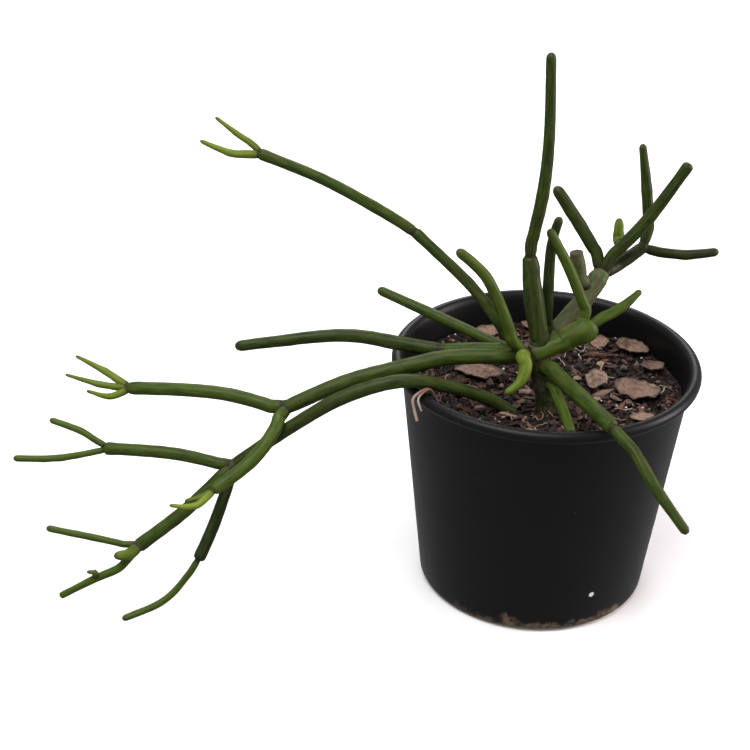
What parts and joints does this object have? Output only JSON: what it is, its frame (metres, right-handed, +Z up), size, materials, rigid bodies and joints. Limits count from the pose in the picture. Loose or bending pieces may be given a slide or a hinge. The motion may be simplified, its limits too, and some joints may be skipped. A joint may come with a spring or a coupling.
{
  "type": "potted euphorbia",
  "caption": "Black round plant pot with a rolled rim, bark mulch and a sprawling leafless succulent of jointed pencil-like green stems, some trailing far to one side.",
  "frame": {"origin": "centre of the pot's flat resting face", "axes": "+Z up out of the pot; the long stems trail towards -X; -Y is the front, where one stem hangs over the rim"},
  "size_m": [0.328, 0.1819, 0.279],
  "materials": {
    "pot_plastic": "satin",
    "soil": "matte",
    "bark": "matte",
    "trunk_bark": "matte",
    "woody_stem": "matte",
    "green_stem": "satin",
    "young_stem": "satin"
  },
  "bodies": {
    "root": {"pot": "pot_plastic", "soil": "soil", "trunk": "trunk_bark", "tall_stem_base": "green_stem", "tall_stem_top": "green_stem", "back_shoot": "green_stem", "thick_stub": "green_stem", "stub_shoot_left": "green_stem", "stub_shoot_right": "green_stem", "woody_stem": "woody_stem", "woody_shoot_left": "green_stem", "woody_shoot_right": "green_stem", "woody_shoot_rear": "green_stem", "rear_shoot_tall": "green_stem", "rear_shoot_side": "green_stem", "small_rear_shoot": "young_stem", "cut_stub": "woody_stem", "upper_left_stem": "green_stem", "upper_left_stem_end": "green_stem", "upper_left_tip_straight": "young_stem", "upper_left_tip_curved": "young_stem", "curled_left_shoot": "young_stem", "rear_left_shoot": "green_stem", "long_left_stem_base": "green_stem", "long_left_stem": "green_stem", "left_branch": "green_stem", "left_branch_upper": "green_stem", "left_upper_tip_high": "young_stem", "left_upper_tip_middle": "young_stem", "left_upper_tip_low": "young_stem", "left_branch_lower": "green_stem", "left_lower_tip_short": "young_stem", "left_lower_tip_long": "young_stem", "low_branch": "green_stem", "low_branch_outer": "green_stem", "low_outer_tip_high": "green_stem", "low_outer_tip_low": "green_stem", "low_branch_middle": "green_stem", "low_middle_tip_high": "green_stem", "low_middle_stub": "young_stem", "low_middle_tip_low": "green_stem", "low_middle_bud": "young_stem", "low_branch_inner": "green_stem", "low_inner_tip": "green_stem", "front_right_stem": "green_stem", "front_right_stem_end": "green_stem", "front_shoot": "green_stem", "young_curled_shoot": "young_stem", "bark_chip_1": "bark", "bark_chip_2": "bark", "bark_chip_3": "bark", "bark_chip_4": "bark", "bark_chip_5": "bark", "bark_chip_6": "bark", "bark_chip_7": "bark", "bark_chip_8": "bark", "bark_chip_9": "bark"}
  },
  "joints": []
}
